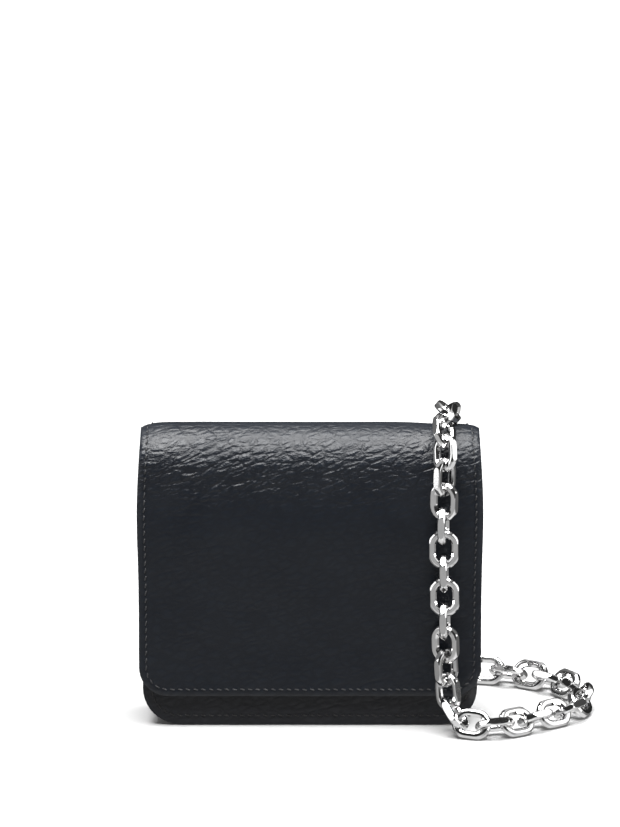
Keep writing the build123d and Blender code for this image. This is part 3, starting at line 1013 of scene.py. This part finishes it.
def make_tape(name, side, outer, root, looks):
    low, high = in_mm(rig.box(f"zip_tape_{name}"))
    profile = [
        (outer, high.z - TAPE_DROP),
        (outer, high.z - 2.4),
        (outer, high.z - 0.6),
        (outer + side * 0.35, high.z - 0.1),
        (outer + side * 0.9, high.z + 0.1),
        (outer + side * 1.6, high.z + 0.05),
        (root + side * 0.15, high.z - 0.1),
    ]
    columns = spaced(low.x, high.x, 2.0)
    points = [Vector((x, y + ripple(x, z, 2.2, 0.08), z)) for y, z in profile for x in columns]
    faces = grid_faces(len(profile), len(columns))
    if side > 0:
        faces = turned_over(faces)
    tape = new_object(f"zip_tape_{name}_fold", points, faces, [looks["tape"]] * 2)
    thicken(tape, TAPE_THICK, 0.1)
    ride(tape, "body", "zip_tape", f"zip_tape_{name}")
    hem = high.z - TAPE_DROP + 1.2
    line = [Vector((x, outer - side * 0.02, hem)) for x in spaced(low.x + 1, high.x - 1, 2.0)]
    seam = make_stitches(f"zip_tape_{name}_seam", line, towards(-side), looks["thread"], 0.0, 31)
    ride(seam, "body", "thread")


# ---------- ring tabs

TAB_THICK = 1.15
TAB_LOOP_R = 2.9  # outside radius of the strap round the D-ring's bar
TAB_TURNS = 14


def tab_profile(low, high):
    """The strap's outer face from the side: down, round the bar and up again behind."""
    bar_y = high.y - TAB_LOOP_R
    bar_z = low.z + TAB_LOOP_R
    profile = [(low.y + 2 * TAB_THICK + 0.1, z) for z in spaced(high.z, bar_z + 5.2, 1.6)]
    for i in range(TAB_TURNS + 1):
        a = math.radians(62 - 242 * i / TAB_TURNS)
        profile.append((bar_y + TAB_LOOP_R * math.cos(a), bar_z + TAB_LOOP_R * math.sin(a)))
    return profile + [(low.y + 0.02, z) for z in spaced(bar_z + 1.5, high.z, 1.6)]


def make_ring_tabs(looks):
    """A strap folded round each D-ring's bar, both ends riveted to the back panel."""
    for name in ("left", "right"):
        node = f"ring_tab_{name}"
        low, high = in_mm(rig.box(node))
        middle = (low.x + high.x) / 2
        half = (high.x - low.x) / 2
        profile = tab_profile(low, high)
        left = [-half, -half + 0.5, -half + 1.2, -half * 0.4]
        columns = left + [0.0] + [-x for x in reversed(left)]
        points = []
        for y, z in profile:
            near_end = max(0.0, (z - (high.z - 2.5)) / 2.5)
            trim = 1 - 0.22 * near_end ** 3
            points += [Vector((middle + x * trim, y, z)) for x in columns]
        faces = grid_faces(len(profile), len(columns))
        strap = new_object(f"{node}_strap", points, faces, [looks["body"], looks["edge"]])
        thicken(strap, TAB_THICK, 0.25)
        ride(strap, "body", "grained_leather", node)
        for side in (-1, 1):
            x = middle + side * (half - 1.3)
            out_y = low.y + 2 * TAB_THICK + 0.12
            heights = spaced(low.z + TAB_LOOP_R + 6.0, high.z - 1.6, 2.0)
            line = [Vector((x, out_y, z)) for z in heights]
            seam = make_stitches(f"{node}_seam_{side + 1}", line, towards(1), looks["thread"], 0.0, 41)
            ride(seam, "body", "thread")


# ---------- chain

# A link, in millimetres: its pitch, outside size, the radius of its wire, and how deep each flat is ground.
CHAIN_PITCH = 7.9
LINK_LONG = 12.5
LINK_WIDE = 9.2
LINK_WIRE = 1.35
GROUND_SIDE = 0.5
GROUND_END = 0.3
GROUND_FACE = 0.12
GROUND_SHOULDER = 0.26

# The chain as a cord, in metres: how wide it is, and how high its middle line is where it lies on the ground.
CORD_WIDE = 0.0092
LIES_AT = 0.0044

# The chain's route, in metres: behind the wallet, over its top, along the ground and up to the left clasp.
FLOOR_LINK_ROUTE = [
    (0.024, 0.01997, 0.0319), (0.0243, 0.01997, 0.020), (0.0252, 0.02077, 0.0104), (0.0272, 0.0256, 0.0052),
    (0.033, 0.0306, LIES_AT), (0.0406, 0.0296, LIES_AT), (0.0454, 0.0244, 0.0054), (0.04695, 0.02076, 0.010),
    (0.0465, 0.0204, 0.016),
]
DRAPE_ROUTE = [
    (0.0465, 0.0204, 0.016), (0.045, 0.0192, 0.036), (0.0436, 0.0180, 0.060), (0.0434, 0.0170, 0.080),
    (0.0436, 0.0166, 0.0915), (0.0452, 0.0072, 0.1013), (0.0424, -0.0094, 0.1013), (0.0434, -0.0190, 0.0912),
    (0.0428, -0.0197, 0.079), (0.0427, -0.0201, 0.060), (0.0433, -0.0199, 0.040), (0.0434, -0.0195, 0.026),
    (0.0441, -0.0194, 0.016),
]
FLOOR_RUN_ROUTE = [
    (0.0441, -0.0194, 0.016), (0.0443, -0.0201, 0.0096), (0.0466, -0.024, 0.0049), (0.052, -0.0272, LIES_AT),
    (0.059, -0.0268, LIES_AT), (0.0665, -0.023, LIES_AT), (0.0756, -0.0146, LIES_AT),
    (0.0846, -0.008, LIES_AT), (0.0892, 0.0036, LIES_AT), (0.087, 0.0174, LIES_AT), (0.0794, 0.028, LIES_AT),
    (0.0696, 0.035, LIES_AT), (0.058, 0.0396, LIES_AT), (0.044, 0.042, LIES_AT), (0.029, 0.0406, LIES_AT),
    (0.014, 0.0408, LIES_AT),
]
TAIL_ROUTE = [
    (0.004, 0.042, 0.0124), (-0.005, 0.033, 0.009), (-0.014, 0.0276, 0.0051), (-0.0216, 0.025, 0.0056),
    (-0.0246, 0.02137, 0.011), (-0.0243, 0.02027, 0.020), (-0.024, 0.01997, 0.0319),
]
COIL_CENTRE = Vector((-0.006, 0.072, 0.0))
COIL_LAYERS = ((0.0334, LIES_AT), (0.0242, LIES_AT), (0.0290, 0.0124))  # radius and height of each round
COIL_STARTS_AT = -78  # degrees round from +X
POINTS_A_TURN = 14


def coil_route():
    """The spare length, wound clockwise: out, in, and a last round on top of the two."""
    points = []
    start = math.radians(COIL_STARTS_AT)
    for layer, (radius, height) in enumerate(COIL_LAYERS):
        following = COIL_LAYERS[min(layer + 1, len(COIL_LAYERS) - 1)]
        for i in range(POINTS_A_TURN):
            t = i / POINTS_A_TURN
            ease = max(0.0, (t - 0.72) / 0.28)
            r = radius + (following[0] - radius) * ease
            z = height + (following[1] - height) * ease
            a = start - 2 * math.pi * t
            points.append(COIL_CENTRE + Vector((r * math.cos(a), r * math.sin(a), z)))
    return points


def smooth_line(points):
    """The points along a NURBS spline that has these as its control points."""
    curve = bpy.data.curves.new("route", "CURVE")
    curve.dimensions = "3D"
    spline = curve.splines.new("NURBS")
    spline.points.add(len(points) - 1)
    for control, point in zip(spline.points, points):
        control.co = (*point, 1.0)
    spline.order_u = 3
    spline.use_endpoint_u = True
    spline.resolution_u = 24
    holder = bpy.data.objects.new("route", curve)
    mesh = bpy.data.meshes.new_from_object(holder)
    line = [vertex.co.copy() for vertex in mesh.vertices]
    bpy.data.objects.remove(holder)
    bpy.data.curves.remove(curve)
    bpy.data.meshes.remove(mesh)
    return line


def line_length(line):
    return sum((b - a).length for a, b in zip(line, line[1:]))


def link_tube():
    """A link before its flats are ground: a round wire bent into an oval, closed into a ring."""
    steps = 12
    sides = 12
    half_wide = LINK_WIDE / 2 + GROUND_SIDE - LINK_WIRE
    straight = LINK_LONG / 2 + GROUND_END - LINK_WIRE - half_wide
    tube = bmesh.new()
    rings = []
    for side in (1, -1):
        for i in range(steps + 1):
            a = side * math.pi / 2 - math.pi * i / steps
            centre = Vector((side * straight + half_wide * math.cos(a), half_wide * math.sin(a), 0))
            out = Vector((math.cos(a), math.sin(a), 0))
            ring = []
            for j in range(sides):
                b = 2 * math.pi * j / sides
                point = centre + out * LINK_WIRE * math.cos(b) + Vector((0, 0, LINK_WIRE * math.sin(b)))
                ring.append(tube.verts.new(point))
            rings.append(ring)
    for ring, following in zip(rings, rings[1:] + rings[:1]):
        for j in range(sides):
            after = (j + 1) % sides
            tube.faces.new((ring[j], ring[after], following[after], following[j]))
    return tube, half_wide, straight


def link_template():
    """One oval cable link in its own frame: long along X, open along Z, with ground flats on every side."""
    body, half_wide, straight = link_tube()
    slant = math.radians(48)
    shoulder = straight * math.cos(slant) + half_wide + LINK_WIRE - GROUND_SHOULDER
    flats = (
        (0, 1, 0, LINK_WIDE / 2),
        (1, 0, 0, LINK_LONG / 2),
        (math.cos(slant), math.sin(slant), 0, shoulder),
        (math.cos(slant), -math.sin(slant), 0, shoulder),
        (0, 0, 1, LINK_WIRE - GROUND_FACE),
    )
    for x, y, z, distance in flats:
        for side in (1, -1):
            normal = Vector((x, y, z)) * side
            grind(body, normal, distance, is_ring=z != 0)
    bmesh.ops.recalc_face_normals(body, faces=body.faces)
    body.verts.index_update()
    points = [vertex.co.copy() for vertex in body.verts]
    faces = [tuple(vertex.index for vertex in face.verts) for face in body.faces]
    body.free()
    return points, faces


def grind(body, normal, distance, is_ring):
    """Cuts a flat and closes it: an oval on the sides and ends, and a ring round the opening on the faces."""
    cut = bmesh.ops.bisect_plane(
        body, geom=body.verts[:] + body.edges[:] + body.faces[:], plane_co=normal * distance, plane_no=normal,
        clear_outer=True,
    )
    rim = [part for part in cut["geom_cut"] if isinstance(part, bmesh.types.BMEdge)]
    if is_ring:
        bmesh.ops.bridge_loops(body, edges=rim)
    else:
        bmesh.ops.holes_fill(body, edges=rim, sides=0)


def facing(point):
    """Which way is outwards from what the chain lies on, at a place on its route."""
    fold = Vector((0, TOP_Y, FOLD_Z)) * MM
    if point.z > fold.z:
        return Vector((0, point.y - fold.y, point.z - fold.z)).normalized()
    side = Vector((0, -1 if point.y < fold.y else 1, 0))
    on_ground, hanging = 0.005, 0.016
    t = smooth((point.z - on_ground) / (hanging - on_ground))
    return (side * t + Vector((0, 0, 1)) * (1 - t)).normalized()


def link_turn(point, along, rng):
    """How far a link leans. The strand in front untwists and twists again; links on the ground roll over."""
    lean = math.radians(rng.uniform(-6, 6))
    in_front = point.y < -0.01 and point.z > 0.02
    if in_front:
        untwisted_at, reach = 0.052, 0.034
        away = min(1.0, abs(point.z - untwisted_at) / reach)
        return math.radians(45) * away ** 1.4 + lean
    if point.z < 0.008:
        return math.radians(45 + 12 * along.x) + lean
    return math.radians(45) + lean


class Walker:
    """Gives places along a line of points by their distance from its start."""

    def __init__(self, line):
        self.line = line
        self.at = [0.0]
        for a, b in zip(line, line[1:]):
            self.at.append(self.at[-1] + (b - a).length)

    def place(self, distance):
        i = min(max(bisect_left(self.at, distance) - 1, 0), len(self.at) - 2)
        share = (distance - self.at[i]) / (self.at[i + 1] - self.at[i])
        return self.line[i].lerp(self.line[i + 1], min(1.0, share))


def chain_links(line):
    """The matrix of every link along the whole route, turned a quarter from one to the next."""
    rng = random.Random(5)
    walker = Walker(line)
    total = walker.at[-1]
    count = round(total / (CHAIN_PITCH * MM))
    pitch = total / count
    links = []
    for i in range(count):
        middle = (i + 0.5) * pitch
        before = walker.place(middle - pitch / 2)
        after = walker.place(middle + pitch / 2)
        centre = (before + after) / 2
        along = (after - before).normalized()
        out = facing(centre)
        out = (out - along * out.dot(along)).normalized()
        turn = link_turn(centre, along, rng) + (math.pi / 2 if i % 2 else 0.0)
        out = Matrix.Rotation(turn, 3, along) @ out
        place = Matrix((along, out.cross(along), out)).transposed().to_4x4()
        below = MM * max(LINK_WIDE / 2 * abs(place[2][1]) + LINK_WIRE * abs(place[2][2]), LINK_WIRE)
        place.translation = Vector((centre.x, centre.y, max(centre.z, below)))
        links.append((middle, place))
    return links


def make_chain(looks):
    """Three stretches of one chain: behind the wallet, over it, and along the ground to the other clasp."""
    stretches = (
        ("chain_behind", FLOOR_LINK_ROUTE, "body", 0.061, ("chain_floor_link",)),
        ("chain_over_the_top", DRAPE_ROUTE, "chain_over_top", 0.193, ("chain_drape",)),
        (
            "chain_on_the_ground", FLOOR_RUN_ROUTE + coil_route() + TAIL_ROUTE, "body", 0.763,
            ("chain_floor_run", "chain_coil", "chain_tail"),
        ),
    )
    lines = [smooth_line(route) for _, route, _, _, _ in stretches]
    whole = lines[0] + [point for line in lines[1:] for point in line[1:]]
    links = chain_links(whole)
    template = link_template()
    start = 0.0
    for (name, route, body, length, nodes), line in zip(stretches, lines):
        end = start + line_length(line)
        points = []
        faces = []
        for middle, place in links:
            if start <= middle < end:
                add_copy(points, faces, template, lambda point: (place @ (point * MM)) / MM)
        obj = new_object(name, points, faces, [looks["chain"]], 24)
        ride(obj, body, "chain", *nodes)
        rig.cord(
            obj, exit=route[0], length=length, diameter=CORD_WIDE, far_end="object", stiffness="limp",
            lay="loose", path=line,
        )
        start = end


# ---------- fittings that the frame already has

def dress_frame(looks):
    """The metal fittings keep their CAD shape and get their finish."""
    finishes = {
        "clasp": (
            "d_ring_left", "d_ring_right", "clasp_left", "clasp_right", "clasp_gate_left", "clasp_gate_right",
        ),
        "zip": ("zip_slider", "zip_pull", "zip_stops"),
        "fastener": ("press_stud", "press_socket", "tab_rivet_left", "tab_rivet_right"),
    }
    for finish, names in finishes.items():
        for name in names:
            NODES[name].data.materials.clear()
            NODES[name].data.materials.append(looks[finish])


# ---------- camera, floor and light

CAMERA_RISE = 14.0
CAMERA_FAR = 3.0
CAMERA_AIM = Vector((0, 0, 0.1008))
LENS = 407.0
FLOOR_HALF = 4000.0


def make_camera():
    data = bpy.data.cameras.new("camera")
    data.lens = LENS
    data.sensor_width = 36.0
    camera = add_to_scene("camera", data)
    rise = math.radians(CAMERA_RISE)
    back = Vector((0, -math.cos(rise), math.sin(rise)))
    camera.location = CAMERA_AIM + back * CAMERA_FAR
    camera.rotation_euler = back.to_track_quat("Z", "Y").to_euler()
    bpy.context.scene.camera = camera


def make_floor():
    m = Material("white_floor")
    clouds = m.noise(m.place, 3, 2.0)
    colour = m.ramp(clouds, [(0.3, (0.36, 0.36, 0.36)), (0.7, (0.38, 0.38, 0.38))])
    m.surface(base_color=colour, roughness=m.range(clouds, 0.3, 0.7, 0.55, 0.6))
    corners = [(x * FLOOR_HALF, y * FLOOR_HALF, 0) for x, y in ((-1, -1), (1, -1), (1, 1), (-1, 1))]
    floor = new_object("floor", corners, [(0, 1, 2, 3)], [m.material])
    floor.visible_glossy = False
    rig.stage(floor)


def area_light(name, place, aim, size, watts):
    data = bpy.data.lights.new(name, "AREA")
    data.shape = "RECTANGLE"
    data.size, data.size_y = size
    data.energy = watts
    lamp = add_to_scene(name, data)
    lamp.location = place
    lamp.rotation_euler = (Vector(place) - Vector(aim)).to_track_quat("Z", "Y").to_euler()
    lamp.visible_camera = False


# How bright the studio is, by height: 0 is straight down, 0.5 the horizon and 1 straight up.
BACK_WALL = ((0.0, 0.9), (0.2, 0.7), (0.33, 0.2), (0.5, 0.02), (0.66, 0.03), (0.8, 0.3), (1.0, 0.9))
FRONT_WALL = (
    (0.0, 1.2), (0.22, 0.9), (0.33, 0.45), (0.44, 0.55), (0.5, 0.1), (0.57, 0.04), (0.87, 0.03), (0.94, 0.9),
    (1.0, 1.2),
)


def make_world():
    """White to the camera; a studio with a bright ceiling and darker walls to everything else."""
    world = bpy.data.worlds.new("studio")
    bpy.context.scene.world = world
    world.use_nodes = True
    world.node_tree.nodes.clear()
    w = Nodes(world.node_tree)
    place = w.add("ShaderNodeTexCoord").outputs["Generated"]
    split = w.add("ShaderNodeSeparateXYZ", {"Vector": place}).outputs
    height = w.range(split["Z"], -1.0, 1.0)
    walls = w.add("ShaderNodeMix", {"Factor": w.range(split["Y"], 0.25, -0.35)}, data_type="RGBA")
    sockets = [socket for socket in walls.inputs if socket.type == "RGBA"]
    for stops, socket in zip((BACK_WALL, FRONT_WALL), sockets):
        greys = [(position, (grey, grey, grey)) for position, grey in stops]
        w.tree.links.new(w.ramp(height, greys), socket)
    shade_of_room = next(socket for socket in walls.outputs if socket.type == "RGBA")
    room = w.add("ShaderNodeBackground", {"Color": shade_of_room})
    white = w.add("ShaderNodeBackground", {"Color": (1, 1, 1, 1)})
    seen = w.add("ShaderNodeLightPath").outputs["Is Camera Ray"]
    mix = w.add("ShaderNodeMixShader", {"Fac": seen, 1: room.outputs[0], 2: white.outputs[0]})
    w.add("ShaderNodeOutputWorld", {"Surface": mix.outputs[0]})


def sun_light(name, direction, spread, strength):
    """A soft light from far above that lights the whole floor evenly."""
    data = bpy.data.lights.new(name, "SUN")
    data.angle = math.radians(spread)
    data.energy = strength
    lamp = add_to_scene(name, data)
    lamp.rotation_euler = Vector(direction).to_track_quat("Z", "Y").to_euler()


def make_lights():
    sun_light("ceiling", (0, -0.17, 1), 52.0, 12.0)
    for name, x in (("left", -0.95), ("right", 0.95)):
        area_light(name, (x, -0.3, 0.4), (0, 0, 0.05), (0.8, 0.9), 4.0)
    bpy.context.scene.view_settings.view_transform = "Standard"


# ---------- finish

SIZE_FILE = "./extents.json"


def write_sizes():
    boxes = {"cad": CAD_BOX, "visual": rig.bounds()}
    plain = {name: [list(corner) for corner in box] for name, box in boxes.items()}
    with open(SIZE_FILE, "w") as out:
        json.dump(plain, out)


LOOKS = make_materials()
make_outer_skins(LOOKS)
make_seams(LOOKS)
make_body_panels(LOOKS)
make_pockets(LOOKS)
make_gusset(LOOKS)
make_coin_bag(LOOKS)
make_zip(LOOKS)
make_ring_tabs(LOOKS)
make_chain(LOOKS)
dress_frame(LOOKS)
make_camera()
make_floor()
make_world()
make_lights()
write_sizes()
